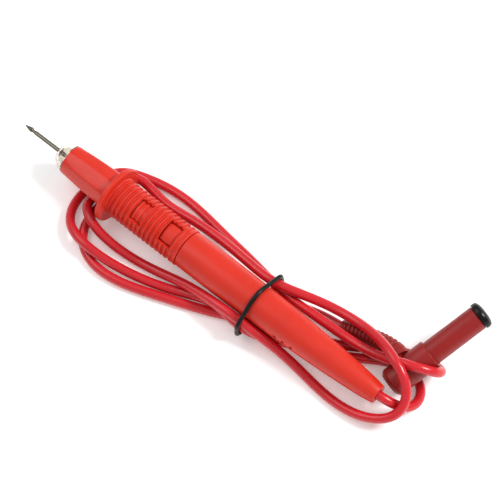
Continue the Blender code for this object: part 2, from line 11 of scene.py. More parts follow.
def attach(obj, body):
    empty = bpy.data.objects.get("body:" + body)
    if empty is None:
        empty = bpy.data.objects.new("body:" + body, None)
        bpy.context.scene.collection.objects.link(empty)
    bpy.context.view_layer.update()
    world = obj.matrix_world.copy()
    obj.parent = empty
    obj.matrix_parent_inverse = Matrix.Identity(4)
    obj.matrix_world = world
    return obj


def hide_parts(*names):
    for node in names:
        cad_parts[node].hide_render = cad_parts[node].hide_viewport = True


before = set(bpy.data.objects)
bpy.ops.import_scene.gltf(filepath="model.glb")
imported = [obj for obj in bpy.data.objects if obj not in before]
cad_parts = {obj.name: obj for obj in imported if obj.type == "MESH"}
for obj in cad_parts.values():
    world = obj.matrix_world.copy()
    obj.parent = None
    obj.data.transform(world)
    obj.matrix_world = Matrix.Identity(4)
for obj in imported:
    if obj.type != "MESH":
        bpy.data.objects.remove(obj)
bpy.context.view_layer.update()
MM = 0.001

AXIS_Z = 11.8
ROLL = math.radians(14.5)
TIP_X, TAIL_X = -88.5, 88.4
CORD_R, CORD_CLEAR = 1.9, 0.25
BAND_X, BAND_WIRE_R = 30.45, 0.85
PLUG_BACK = (87.8, 7.6, 6.3)
PLUG_DIR = (0.2748, 0.8996, 0.3394)
ARM_DIR = (-0.9564, 0.2921, 0.0)
ARM_AT = 9.0
PLUG_R, PLUG_LEN = 5.8, 19.4
SHROUD_R, SHROUD_IN_R, SHROUD_END = 4.85, 3.6, 41.8
CAP_R, CAP_END = 5.35, 45.2
SEAM_TILT = math.radians(-16.5)
SLEEVE, LATCH, LEAD, CAP = "sleeve", "latch", "lead", "cap"


# ---- the cable's way, mm: the same points and the same settling as in the CAD model ----
ROUTE = [
    (59, 15.3, 4.8), (50.7, 15.0, 3), (42.8, 13.0, 2.6), (30.45, 8.0, 4.7), (22, 7.6, 3.2), (10, 8.2, 2), (-5, 8.4, 2),
    (-20, 7.4, 2), (-29, 6.6, 2), (-35, 7.4, 2), (-38.7, 9.4, 2), (-41.0, 10.2, 1.95), (-44.4, 9.4, 1.95), (-47.6, 6.8, 2),
    (-49.7, 3.4, 2), (-50.1, -0.5, 2), (-50.4, -4.5, 2.4), (-50.2, -8.4, 4.2), (-48.8, -10.9, 6.0), (-46, -12.2, 6.3),
    (-41, -13, 5.6), (-33.5, -14.2, 4), (-24.8, -13.6, 2.2), (-13.5, -12, 2.2), (0.2, -10.2, 4.8), (7.5, -9.8, 7.2),
    (14.8, -9.8, 9), (22, -9.7, 10), (30.45, -9.5, 10.3),
    (39.2, -8.2, 8), (47.7, -7.8, 5), (57.5, -7.8, 2.5), (70, -9.4, 2), (80, -9.2, 2.5), (87.5, -7.9, 4.2),
    (93, -5.6, 6.4), (96.6, -2.4, 8.6), (98, 1.5, 10.2), (97.6, 5, 11.6), (95.8, 8.2, 14.2), (91.5, 11, 18.5),
    (85.5, 13, 19.3), (78, 15.6, 16.5), (70.4, 17.4, 13.6), (60.2, 18.3, 9.5), (51.3, 17.3, 9.5), (39.6, 13.6, 11),
    (34.2, 10.6, 12), (30.45, 9.7, 12.6),
    (25.8, 10, 12.3), (15.9, 11.2, 11), (6.3, 11.9, 9.5), (-1.9, 12.7, 8), (-9.4, 12.6, 7), (-19.7, 12.6, 5),
    (-29.4, 11.4, 4.2), (-34.5, 10.7, 5.0), (-37.8, 11.6, 5.5), (-41.0, 12.9, 5.6), (-44.2, 11.4, 5.9), (-45.8, 8.2, 5.0),
    (-45.9, 5.0, 3.2), (-45.9, 1.8, 2.1), (-46.0, -2, 2), (-46.6, -6, 2),
    (-47.2, -10, 2), (-47.2, -14, 2), (-45.4, -17.4, 2), (-41.8, -19.9, 2), (-38, -22.4, 2), (-34.8, -24.2, 2),
    (-30.5, -25, 2), (-23, -24.8, 2), (-14.6, -22.7, 2), (-3, -18.5, 2), (8.2, -13.9, 2), (15, -11.2, 2),
    (23, -7.5, 2.6), (30.45, -5.5, 4.25),
    (36, -3, 2.4), (42, 0.5, 2), (48, 3.2, 2), (54, 6, 2), (60, 8.8, 2), (66, 11.8, 2), (71, 15.2, 2), (75.5, 19.2, 2),
    (81, 22.8, 2), (86.5, 24.8, 2), (91, 25.8, 2), (95, 26, 2.7), (98.2, 25.6, 5.4), (100.4, 24.2, 9.3),
    (101.2, 21.6, 13.4), (99.2, 18.4, 16.6),
    (94.5, 15.8, 16.8), (88, 13.1, 15.6), (81, 12.4, 12.6), (74.3, 12.3, 10.2), (65.8, 11.5, 8.8), (56.2, 11.3, 8.5),
    (41.8, 10.9, 8.5), (30.45, 11.1, 8.4),
    (21, 12.4, 8.2), (14.6, 14, 7.5), (3.5, 15.1, 6), (-8.9, 17.8, 4), (-20.2, 19, 2.5), (-30.6, 19.1, 2),
    (-38.6, 16.8, 2), (-42.0, 14.9, 1.95), (-45.2, 13.4, 2), (-48.4, 10.5, 2), (-51.4, 6.6, 2), (-53.8, 1.6, 2),
    (-55.0, -5, 2), (-55.0, -10.8, 2), (-53.5, -15.6, 2.2), (-49.8, -18.2, 3.4), (-43.9, -21.1, 5.6), (-38, -22.2, 6.1),
    (-32.5, -21.8, 5), (-28, -20.8, 3.4), (-19, -18.9, 2.4), (-9.4, -16.7, 2.2), (0, -13.1, 2), (8, -9.9, 2.9),
    (14, -8.7, 4.8), (20, -9.2, 6.2), (30.45, -9.4, 6.1),
    (37, -7, 3.8), (44, -3.2, 2), (52, 0.2, 2), (60, 3.8, 2), (67, 7.2, 2), (73.5, 11.5, 2), (79, 15.6, 2),
    (84.5, 18.6, 2), (90, 19.4, 2), (94.6, 18, 2), (98.2, 16.2, 2), (101.2, 13.6, 2), (102.4, 10.5, 2), (101.6, 7.6, 2),
    (99.6, 5.2, 3), (97.4, 3.4, 5.6), (95, 1.8, 8.8), (92, 0.5, 11.2), (88.8, 0, 11.8),
]
# the probe's outline, (place along X, radius), and the plug as thick lines, all kept clear of
PROBE = [
    (-71, 0), (-71, 1.7), (-66.0, 7.75), (-41.9, 7.75), (-41.9, 11.8), (-39.9, 11.8), (-39.9, 8.05), (-5.0, 8.0),
    (-4.7, 7.75), (10, 7.75), (24, 7.65), (36, 7.4), (48, 7.0), (58, 6.5), (68, 5.95), (78, 5.2), (84, 4.6), (87.0, 4.1),
]
P0 = np.array(PLUG_BACK)
DS = np.array(PLUG_DIR) / np.linalg.norm(PLUG_DIR)
DA = np.array(ARM_DIR) / np.linalg.norm(ARM_DIR)
ARM = P0 + DS * ARM_AT
BOOT = [
    (tuple(ARM + DA * 4.0), 4.5), ((84.5, 17.5, 9.4), 4.3), ((78, 18.4, 9.2), 3.9), ((72, 18.0, 8.2), 3.4),
    ((66, 16.9, 6.6), 3.0), ((59, 15.3, 4.8), 2.6),
]


def even(p, count):
    run = np.concatenate([[0], np.cumsum(np.linalg.norm(np.diff(p, axis=0), axis=1))])
    at = np.linspace(0, run[-1], count)
    return np.stack([np.interp(at, run, p[:, k]) for k in range(3)], 1)


def length_of(p):
    return float(np.linalg.norm(np.diff(p, axis=0), axis=1).sum())


def through(points, per=16):
    """A smooth curve through the points."""
    p = np.asarray(points, float)
    q = np.vstack([2 * p[0] - p[1], p, 2 * p[-1] - p[-2]])
    out = []
    for i in range(1, len(p)):
        a, b, c, d = q[i - 1], q[i], q[i + 1], q[i + 2]
        for t in np.arange(per) / per:
            out.append(0.5 * (2 * b + (c - a) * t + (2 * a - 5 * b + 4 * c - d) * t * t + (3 * b - a - 3 * c + d) * t**3))
    out.append(p[-1])
    return np.array(out)


def away_from_line(c, a, b, need):
    a, b = np.asarray(a, float), np.asarray(b, float)
    ab = b - a
    t = np.clip(((c - a) @ ab) / (ab @ ab), 0, 1)
    v = c - a - t[:, None] * ab
    d = np.linalg.norm(v, axis=1) + 1e-9
    return v / d[:, None] * np.maximum(0, need - d)[:, None]


def probe_samples():
    xs, rs = [], []
    for (x0, r0), (x1, r1) in zip(PROBE, PROBE[1:]):
        k = max(2, int(math.hypot(x1 - x0, r1 - r0) / 0.4))
        for q in np.arange(k) / k:
            xs.append(x0 + (x1 - x0) * q)
            rs.append(r0 + (r1 - r0) * q)
    return np.array(xs), np.array(rs)


def away_from_probe(c, need, xs, rs):
    y, z = c[:, 1], c[:, 2] - AXIS_Z
    rho = np.hypot(y, z) + 1e-9
    dist = np.hypot(xs[None] - c[:, 0:1], rs[None] - rho[:, None])
    k = dist.argmin(1)
    d = dist[np.arange(len(c)), k]
    wall = np.zeros(len(c))
    for (x0, r0), (x1, r1) in zip(PROBE, PROBE[1:]):
        if x1 > x0:
            m = (c[:, 0] >= x0) & (c[:, 0] <= x1)
            wall[m] = np.maximum(wall[m], r0 + (r1 - r0) * (c[m, 0] - x0) / (x1 - x0))
    sign = np.where(rho < wall, -1.0, 1.0)
    m = np.maximum(0, need - sign * d)
    gx = sign * (c[:, 0] - xs[k]) / (d + 1e-9)
    gr = sign * (rho - rs[k]) / (d + 1e-9)
    return np.stack([gx * m, gr * m * y / rho, gr * m * z / rho], 1)


def relaxed(route, rounds=500, step=2.5):
    c = through(route)
    n = int(round(length_of(c) / step)) + 1
    c = even(c, n)
    start = c.copy()
    index = np.arange(n)
    apart = np.abs(index[:, None] - index[None]) * step > 13.0
    held = np.zeros(n, bool)
    held[:3] = held[-3:] = True
    xs, rs = probe_samples()
    radius = 1.95
    hold = 0.012 + 0.05 * np.exp(-(((start[:, 0:1] - BAND_X) / 5.0) ** 2))
    for turn in range(rounds):
        fade = 1 - turn / rounds
        bend = np.zeros_like(c)
        bend[2:-2] = c[:-4] - 4 * c[1:-3] + 6 * c[2:-2] - 4 * c[3:-1] + c[4:]
        move = -0.05 * bend + hold * fade**2 * (start - c)
        v = c[:, None] - c[None]
        d = np.linalg.norm(v, axis=2) + 1e-9
        need = 2 * radius + CORD_CLEAR + 0.05
        w = np.where(apart & (d < need), (need - d) / d, 0)
        move += 0.35 * (w[:, :, None] * v).sum(1)
        push = away_from_probe(c, radius + CORD_CLEAR, xs, rs)
        push[-6:] = 0
        move += 0.7 * push
        for a, b, r in ((P0 + DS * 1.5, P0 + DS * PLUG_LEN, PLUG_R), (P0 + DS * PLUG_LEN, P0 + DS * 43, SHROUD_R)):
            move += 0.7 * away_from_line(c, a, b, r + radius + CORD_CLEAR)
        for (a, ra), (b, rb) in zip(BOOT, BOOT[1:]):
            push = away_from_line(c, a, b, max(ra, rb) + radius + CORD_CLEAR - 0.2)
            push[:4] = 0
            move += 0.7 * push
        low = radius + 0.05 + 2.1 * np.exp(-(((c[:, 0] - BAND_X) / 5.0) ** 2))  # the band passes under the strands
        move[:, 2] += 0.8 * np.maximum(0, low - c[:, 2] - move[:, 2])
        move[held] = 0
        c = c + np.clip(move, -0.6, 0.6)
        if turn % 10 == 0 and turn < rounds - 60:
            e = even(c, n)
            e[held] = c[held]
            c = e
    return c


def boot_way(start):
    """The middle of the boot, from a distance along the arm to the boot's thin end."""
    return through([tuple(ARM + DA * start), tuple(ARM + DA * 6.1), tuple(ARM + DA * 8.6)] + [b[0] for b in BOOT[2:]], 12)


def cord_points():
    """The whole cable from the plug's terminal to its end inside the handle."""
    return np.vstack([boot_way(3.6)[:-1], relaxed(ROUTE), [[84, 0, AXIS_Z], [76, 0, AXIS_Z], [64, 0, AXIS_Z]]])


# ---- materials ----
def srgb(r, g, b):
    out = []
    for v in (r, g, b):
        v /= 255.0
        out.append(v / 12.92 if v <= 0.04045 else ((v + 0.055) / 1.055) ** 2.4)
    return (*out, 1.0)


class Nodes:
    """A procedural material with helpers for noise, mixing and bump."""

    def __init__(self, name, **inputs):
        self.m = bpy.data.materials.new(name)
        self.m.use_nodes = True
        self.t = self.m.node_tree
        self.s = self.t.nodes["Principled BSDF"]
        for key, value in inputs.items():
            self.s.inputs[key.replace("_", " ")].default_value = value
        self.coord = self.t.nodes.new("ShaderNodeTexCoord")

    def noise(self, scale, detail=3.0, rough=0.55, stretch=None):
        n = self.t.nodes.new("ShaderNodeTexNoise")
        n.inputs["Scale"].default_value = scale
        n.inputs["Detail"].default_value = detail
        n.inputs["Roughness"].default_value = rough
        source = self.coord.outputs["Object"]
        if stretch is not None:
            mapping = self.t.nodes.new("ShaderNodeMapping")
            mapping.inputs["Scale"].default_value = stretch
            self.t.links.new(source, mapping.inputs["Vector"])
            source = mapping.outputs["Vector"]
        self.t.links.new(source, n.inputs["Vector"])
        return n.outputs["Fac"]

    def ramp(self, fac, stops):
        r = self.t.nodes.new("ShaderNodeValToRGB")
        while len(r.color_ramp.elements) < len(stops):
            r.color_ramp.elements.new(0.5)
        for e, (at, colour) in zip(r.color_ramp.elements, stops):
            e.position = at
            e.color = colour if len(colour) == 4 else (*colour, 1.0)
        self.t.links.new(fac, r.inputs["Fac"])
        return r.outputs["Color"]

    def colour(self, socket):
        self.t.links.new(socket, self.s.inputs["Base Color"])

    def rough(self, fac, low, high):
        r = self.t.nodes.new("ShaderNodeMapRange")
        r.inputs["From Min"].default_value = 0.3
        r.inputs["From Max"].default_value = 0.7
        r.inputs["To Min"].default_value = low
        r.inputs["To Max"].default_value = high
        self.t.links.new(fac, r.inputs["Value"])
        self.t.links.new(r.outputs["Result"], self.s.inputs["Roughness"])

    def bump(self, fac, strength, distance, after=None):
        b = self.t.nodes.new("ShaderNodeBump")
        b.inputs["Strength"].default_value = strength
        b.inputs["Distance"].default_value = distance
        self.t.links.new(fac, b.inputs["Height"])
        if after is not None:
            self.t.links.new(after, b.inputs["Normal"])
        self.t.links.new(b.outputs["Normal"], self.s.inputs["Normal"])
        return b.outputs["Normal"]


def tint(c, k):
    return tuple(min(1.0, v * k) for v in c[:3]) + (1.0,)


def painted_edge_highlight(n, base, light, amount=0.25):
    """Painted highlight: lighter along sharp convex edges."""
    geo = n.t.nodes.new("ShaderNodeNewGeometry")
    r = n.t.nodes.new("ShaderNodeMapRange")
    r.inputs["From Min"].default_value = 0.52
    r.inputs["From Max"].default_value = 0.62
    r.inputs["To Max"].default_value = amount
    n.t.links.new(geo.outputs["Pointiness"], r.inputs["Value"])
    mix = n.t.nodes.new("ShaderNodeMix")
    mix.data_type = "RGBA"
    mix.inputs["B"].default_value = light
    n.t.links.new(r.outputs["Result"], mix.inputs["Factor"])
    n.t.links.new(base, mix.inputs["A"])
    return mix.outputs["Result"]


def moulded(name, colour, rough=(0.34, 0.48), grain=0.10, grain_scale=2600, coat=0.05, sss=0.04):
    n = Nodes(name, IOR=1.5)
    n.s.inputs["Specular IOR Level"].default_value = 0.36
    n.s.inputs["Coat Weight"].default_value = coat
    n.s.inputs["Coat Roughness"].default_value = 0.25
    n.s.inputs["Subsurface Weight"].default_value = sss
    n.s.inputs["Subsurface Scale"].default_value = 0.0006
    n.s.inputs["Subsurface Radius"].default_value = (1.0, 0.25, 0.15)
    broad = n.noise(60, 3)
    tone = n.ramp(broad, [(0.3, tint(colour, 0.93)), (0.7, tint(colour, 1.05))])
    # painted highlight: a lighter colour along sharp convex edges
    n.colour(painted_edge_highlight(n, tone, tint(colour, 1.35), 0.3))
    n.rough(n.noise(420, 4), *rough)
    first = n.bump(n.noise(grain_scale, 2, 0.5), grain, 0.00006)
    n.bump(n.noise(90, 2), 0.10, 0.0002, first)
    return n.m


RED = (0.62, 0.022, 0.008, 1.0)
CORD = (0.55, 0.012, 0.020, 1.0)
PLUG = (0.26, 0.005, 0.004, 1.0)
red_shell = moulded("red_shell", RED)
red_grip = moulded("red_grip", RED, (0.36, 0.5), 0.16, 2200)
red_barrel = moulded("red_barrel", RED, (0.22, 0.32), 0.06)
pad_grain = moulded("pad_grain", (0.60, 0.022, 0.009, 1.0), (0.45, 0.6), 1.0, 750)
plug_red = moulded("plug_red", PLUG, (0.38, 0.52), 0.14, 2200)
black_satin = moulded("black_satin", (0.004, 0.0035, 0.003, 1.0), (0.22, 0.34), 0.08, 2400, 0.0, 0.0)
black_satin.node_tree.nodes["Principled BSDF"].inputs["Specular IOR Level"].default_value = 0.2
dark_inner = moulded("dark_inner", srgb(34, 34, 36), (0.45, 0.6), 0.1, 2400, 0.0, 0.0)

silicone = Nodes("silicone", IOR=1.43)
silicone.s.inputs["Subsurface Weight"].default_value = 0.12
silicone.s.inputs["Subsurface Scale"].default_value = 0.0012
silicone.s.inputs["Subsurface Radius"].default_value = (1.0, 0.2, 0.22)
silicone.s.inputs["Specular IOR Level"].default_value = 0.6
silicone.colour(silicone.ramp(silicone.noise(35, 4), [(0.3, tint(CORD, 0.92)), (0.7, tint(CORD, 1.08))]))
silicone.rough(silicone.noise(160, 4), 0.16, 0.28)
_fine = silicone.bump(silicone.noise(1800, 3), 0.10, 0.00005)
silicone.bump(silicone.noise(120, 3), 0.18, 0.0002, _fine)
silicone = silicone.m

rubber = Nodes("band_rubber", IOR=1.5)
rubber.colour(rubber.ramp(rubber.noise(300, 3), [(0.3, (0.003, 0.003, 0.003, 1)), (0.7, (0.006, 0.007, 0.006, 1))]))
rubber.rough(rubber.noise(500, 3), 0.25, 0.42)
rubber.s.inputs["Specular IOR Level"].default_value = 0.22
rubber.bump(rubber.noise(2000, 3), 0.3, 0.00005)
rubber = rubber.m

clear = Nodes("clear_nose", IOR=1.49)
clear.s.inputs["Base Color"].default_value = (0.80, 0.76, 0.68, 1)
clear.s.inputs["Transmission Weight"].default_value = 1.0
clear.rough(clear.noise(300, 3), 0.02, 0.07)
clear.bump(clear.noise(160, 2), 0.03, 0.0001)
clear = clear.m


def metal(name, colour, low, high, grain=900, strength=0.12):
    n = Nodes(name, Metallic=1.0)
    n.colour(n.ramp(n.noise(200, 3), [(0.3, tint(colour, 0.88)), (0.7, tint(colour, 1.06))]))
    n.rough(n.noise(700, 3, 0.6, (1, 1, 0.08)), low, high)
    n.bump(n.noise(grain, 3, 0.6, (1, 1, 0.1)), strength, 0.00004)
    return n.m


steel = metal("needle_steel", srgb(120, 114, 102), 0.10, 0.22)
brass = metal("plated_brass", srgb(205, 170, 105), 0.22, 0.38)
copper = metal("bare_copper", srgb(200, 120, 85), 0.3, 0.45)

# ---- frames: the probe lies along X and leans over by ROLL; the plug and its arm have their own ----
PROBE_M = Matrix.Translation((0, 0, AXIS_Z * MM)) @ Matrix.Rotation(ROLL, 4, "X")
TURNED = PROBE_M @ Matrix.Rotation(math.pi / 2, 4, "Y")
SEAM_M = PROBE_M @ Matrix.Rotation(SEAM_TILT, 4, "X")


def towards(at, d):
    x, y, z = d
    return Matrix.Translation([v * MM for v in at]) @ Euler(
        (0, math.acos(max(-1, min(1, z))), math.atan2(y, x)), "XYZ"
    ).to_matrix().to_4x4()


PLUG_M = towards(PLUG_BACK, tuple(DS))
ARM_M = towards(tuple(ARM), tuple(DA))


def put(name, mesh, matrix, mat, angle=35):
    """A new object whose mesh is already in the shared frame."""
    mesh.transform(matrix)
    obj = bpy.data.objects.new(name, mesh)
    bpy.context.scene.collection.objects.link(obj)
    mesh.materials.clear()
    mesh.materials.append(mat)
    mesh.shade_smooth()
    mesh.set_sharp_from_angle(angle=math.radians(angle))
    return obj


def filleted(profile, radius, closed, n=4):
    """Rounds each corner of a (radius, place) line that isn't on the axis."""
    pts = [np.array(p[:2], float) for p in profile]
    own = [p[2] if len(p) > 2 else radius for p in profile]
    out = []
    count = len(pts)
    for i, p in enumerate(pts):
        if (not closed and i in (0, count - 1)) or p[0] < 1e-6:
            out.append(tuple(p))
            continue
        a, b = pts[i - 1], pts[(i + 1) % count]
        u, v = a - p, b - p
        lu, lv = np.linalg.norm(u), np.linalg.norm(v)
        u, v = u / lu, v / lv
        turn = math.acos(max(-1, min(1, float(u @ v))))
        if turn > math.radians(176) or own[i] <= 0:
            out.append(tuple(p))
            continue
        cut = min(own[i] / math.tan(turn / 2), 0.46 * lu, 0.46 * lv)
        s, e = p + u * cut, p + v * cut
        for k in range(n + 1):
            t = k / n
            q = (1 - t) ** 2 * s + 2 * t * (1 - t) * p + t * t * e
            out.append(tuple(q))
    return out


def turned_mesh(name, profile, steps=96, closed=False, shape=None):
    """A turned mesh round Z. shape(angle, radius, place) may change the radius."""
    area = sum(a[0] * b[1] - b[0] * a[1] for a, b in zip(profile, list(profile[1:]) + [profile[0]]))
    pts = list(profile) if area < 0 else list(profile)[::-1]
    verts, rings = [], []
    for r, a in pts:
        if r < 1e-6:
            rings.append([len(verts)] * steps)
            verts.append((0, 0, a * MM))
            continue
        ring = []
        for k in range(steps):
            t = 2 * math.pi * k / steps
            rr = shape(t, r, a) if shape else r
            ring.append(len(verts))
            verts.append((rr * math.cos(t) * MM, rr * math.sin(t) * MM, a * MM))
        rings.append(ring)
    pairs = list(zip(rings, rings[1:]))
    if closed:
        pairs.append((rings[-1], rings[0]))
    faces = []
    for p, q in pairs:
        for k in range(steps):
            j = (k + 1) % steps
            loop = [p[k], q[k], q[j], p[j]]
            clean = [v for i, v in enumerate(loop) if v != loop[i - 1]]
            if len(set(clean)) >= 3:
                faces.append(clean)
    mesh = bpy.data.meshes.new(name)
    mesh.from_pydata(verts, [], faces)
    bm = bmesh.new()
    bm.from_mesh(mesh)
    bmesh.ops.recalc_face_normals(bm, faces=bm.faces)
    bm.to_mesh(mesh)
    bm.free()
    return mesh


def turned(name, profile, matrix, mat, fillet=0.3, steps=96, closed=False, shape=None, angle=35, n=4):
    return put(name, turned_mesh(name, filleted(profile, fillet, closed, n), steps, closed, shape), matrix, mat, angle)


def cut(obj, cutter, operation="DIFFERENCE"):
    m = obj.modifiers.new("cut", "BOOLEAN")
    m.operation = operation
    m.solver = "EXACT"
    m.object = cutter
    bpy.context.view_layer.update()
    graph = bpy.context.evaluated_depsgraph_get()
    mesh = bpy.data.meshes.new_from_object(obj.evaluated_get(graph))
    obj.modifiers.clear()
    old = obj.data
    obj.data = mesh
    bpy.data.meshes.remove(old)
    bpy.data.objects.remove(cutter, do_unlink=True)
    obj.data.shade_smooth()
    obj.data.set_sharp_from_angle(angle=math.radians(32))


def soften(obj, width, segments=2, angle=40):
    b = obj.modifiers.new("soft_edges", "BEVEL")
    b.width = width * MM
    b.segments = segments
    b.limit_method = "ANGLE"
    b.angle_limit = math.radians(angle)
    b.harden_normals = False


def sector_mesh(name, x0, x1, r0, r1, half, steps=24, swell=0.0, nx=1):
    """A curved block round X centred on +Z, in the probe's frame; swell crowns its outer side."""
    verts, faces = [], []
    angles = [math.radians(-half + 2 * half * i / steps) for i in range(steps + 1)]
    xs = [x0 + (x1 - x0) * i / nx for i in range(nx + 1)]
    bm = bmesh.new()
    inner = [[bm.verts.new((x * MM, r0 * math.sin(a) * MM, r0 * math.cos(a) * MM)) for x in xs] for a in angles]
    outer = []
    for a in angles:
        row = []
        for x in xs:
            u = 2 * (x - x0) / (x1 - x0) - 1
            r = r1 + swell * (1 - u * u)
            row.append(bm.verts.new((x * MM, r * math.sin(a) * MM, r * math.cos(a) * MM)))
        outer.append(row)
    for i in range(steps):
        for j in range(nx):
            bm.faces.new((outer[i][j], outer[i][j + 1], outer[i + 1][j + 1], outer[i + 1][j]))
            bm.faces.new((inner[i][j], inner[i + 1][j], inner[i + 1][j + 1], inner[i][j + 1]))
        bm.faces.new((inner[i][0], outer[i][0], outer[i + 1][0], inner[i + 1][0]))
        bm.faces.new((inner[i][-1], inner[i + 1][-1], outer[i + 1][-1], outer[i][-1]))
    for i in (0, steps):
        for j in range(nx):
            bm.faces.new((inner[i][j], inner[i][j + 1], outer[i][j + 1], outer[i][j]))
    bmesh.ops.recalc_face_normals(bm, faces=bm.faces)
    mesh = bpy.data.meshes.new(name)
    bm.to_mesh(mesh)
    bm.free()
    return mesh


def cutter_from(mesh, matrix):
    mesh.transform(matrix)
    obj = bpy.data.objects.new("cutter", mesh)
    bpy.context.scene.collection.objects.link(obj)
    return obj


def block(x0, y0, z0, x1, y1, z1):
    mesh = bpy.data.meshes.new("block")
    bm = bmesh.new()
    bmesh.ops.create_cube(bm, size=1.0)
    for v in bm.verts:
        v.co = Vector((
            ((x0 + x1) / 2 + v.co.x * (x1 - x0)) * MM,
            ((y0 + y1) / 2 + v.co.y * (y1 - y0)) * MM,
            ((z0 + z1) / 2 + v.co.z * (z1 - z0)) * MM,
        ))
    bm.to_mesh(mesh)
    bm.free()
    return mesh


def swept(name, points, radius, mat, res=8, radii=None, cyclic=False, caps=True):
    curve = bpy.data.curves.new(name, "CURVE")
    curve.dimensions = "3D"
    curve.bevel_depth = radius * MM
    curve.bevel_resolution = res
    curve.use_fill_caps = caps and not cyclic
    spline = curve.splines.new("POLY")
    spline.points.add(len(points) - 1)
    for i, p in enumerate(points):
        spline.points[i].co = (p[0] * MM, p[1] * MM, p[2] * MM, 1)
        spline.points[i].radius = 1.0 if radii is None else radii[i] / radius
    spline.use_cyclic_u = cyclic
    spline.use_smooth = True
    obj = bpy.data.objects.new(name, curve)
    bpy.context.scene.collection.objects.link(obj)
    curve.materials.append(mat)
    return obj


def eased(p, passes=3):
    """Takes the last small kinks out of a line, ends held."""
    p = np.array(p, float)
    for _ in range(passes):
        q = p.copy()
        q[1:-1] = 0.25 * p[:-2] + 0.5 * p[1:-1] + 0.25 * p[2:]
        p = q
    return p


def stand_in(obj, body, slot, *nodes):
    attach(obj, body)
    if nodes:
        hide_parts(*nodes)
    return obj


def plain(node, mat):
    obj = bpy.data.objects.get(node)
    obj.data.materials.clear()
    obj.data.materials.append(mat)
    obj.data.shade_smooth()
    obj.data.set_sharp_from_angle(angle=math.radians(30))


# ---- cable, first of all ----
line = cord_points()[::-1]
line = line[1:]
dense = eased(even(through(even(line, int(length_of(line) / 2.5)), 4), int(length_of(line) / 1.0)), 4)
cable = swept("cable", dense, CORD_R, silicone, 8)
stand_in(cable, LEAD, "cord_silicone", *[f"cable_run_{i}" for i in range(1, 8)])

# ---- band ----
circles = [(0.0, AXIS_Z, 7.5)]
raw = cord_points()
for a, b in zip(raw, raw[1:]):
    if (a[0] - BAND_X) * (b[0] - BAND_X) < 0:
        at = a + (b - a) * (BAND_X - a[0]) / (b[0] - a[0])
        circles.append((at[1], at[2], 1.95 + 0.1))
ring = []
for k in range(360):
    u = np.array([math.cos(math.radians(k)), math.sin(math.radians(k))])
    y, z, r = max(circles, key=lambda c: c[0] * u[0] + c[1] * u[1] + c[2])
    ring.append((BAND_X, y + u[0] * (r + 0.15 + BAND_WIRE_R), z + u[1] * (r + 0.15 + BAND_WIRE_R)))
ring = even(np.array(ring + [ring[0]]), 161)[:-1]
stand_in(swept("band", ring, BAND_WIRE_R, rubber, 8, cyclic=True), LEAD, "black_rubber", "tie_ring")

# ---- needle ----
stand_in(
    turned("needle_fine",
           [(0, TIP_X), (0.25, -88.2), (1.02, -85.4, 0.4), (0.95, -84.9), (0.66, -84.3, 0.3), (0.66, -83.6, 0.3),
            (0.86, -82.9, 0.3), (0.86, -24.0), (0, -23.7)],
           TURNED, steel, 0.15, 64),
    LEAD, "steel", "needle",
)

# ---- clear nose ----
stand_in(
    turned("nose_clear",
           [(1.6, -70.0), (2.2, -70.3), (3.3, -69.85), (4.3, -68.8), (5.1, -67.5), (5.65, -66.3), (6.0, -65.2),
            (6.05, -64.9), (4.9, -64.9), (4.9, -61.0), (3.9, -61.0), (3.9, -65.6), (3.4, -67.2), (2.6, -68.5),
            (1.6, -69.3)],
           TURNED, clear, 0.9, 96, True, n=5),
    SLEEVE, "clear_nose", "nose_cone",
)


# ---- front barrel, with soft flats ----
def flats(t, r, a):
    k = min(1.0, max(0.0, (a + 64.8) / 4.0)) * min(1.0, max(0.0, (-42.6 - a) / 3.0))
    u = (t * 8 / (2 * math.pi) + 0.35) % 1.0 - 0.5
    flat = r * (1 - math.cos(math.pi / 8) / math.cos(u * math.pi / 4)) * 0.8
    return r - k * flat if r > 6.0 else r


stand_in(
    turned("barrel",
           [(5.2, -64.6), (6.25, -64.6, 0.25), (6.65, -62.0, 3), (7.18, -57.0, 4), (7.58, -51.0, 4), (7.76, -46.0, 3),
            (7.78, -43.2, 0.6), (7.6, -42.3, 0.3), (5.95, -42.3, 0.15), (5.95, -58.3, 0.1), (5.2, -58.3, 0.1)],
           TURNED, red_barrel, 0.3, 144, True, flats),
    SLEEVE, "red_shell", "front_barrel",
)

# ---- grip: flange, ribs, two windows ----
FLANGE_X, FLANGE_T, FLANGE_R = -41.9, 2.0, 11.8
g = [(6.0, FLANGE_X, 0.2), (FLANGE_R, FLANGE_X, 0.5), (FLANGE_R, FLANGE_X + FLANGE_T, 0.5), (8.2, FLANGE_X + FLANGE_T, 0.5)]
first, pitch = FLANGE_X + FLANGE_T + 0.55, 2.19
for i in range(14):
    x = first + i * pitch
    g += [(7.72, x, 0.2), (8.02, x + 0.30, 0.2), (8.02, x + 0.95, 0.2), (7.1, x + 1.3, 0.15), (7.1, x + 1.9, 0.15)]
g += [(7.5, -8.6, 0.2), (7.5, -8.3, 0.2), (8.0, -8.1, 0.25), (8.0, -7.3, 0.25), (7.5, -7.1, 0.2), (7.5, -6.3, 0.2),
      (8.0, -6.1, 0.25), (8.0, -5.3, 0.25), (7.7, -5.0, 0.2), (6.0, -5.0, 0.2)]
g = [p for i, p in enumerate(g) if i == 0 or math.hypot(p[0] - g[i - 1][0], p[1] - g[i - 1][1]) > 0.02]
grip = turned("grip", g, TURNED, red_grip, 0.2, 120, True, n=3)
cut(grip, cutter_from(sector_mesh("c", -45.0, -8.6, 4.0, 6.95, 38.5), PROBE_M))
for x0, x1 in ((-29.2, -23.4), (-14.7, -8.9)):
    cut(grip, cutter_from(sector_mesh("c", x0, x1, 4.2, 10.0, 39.5), PROBE_M))
stand_in(grip, LEAD, "red_shell", "grip_housing")

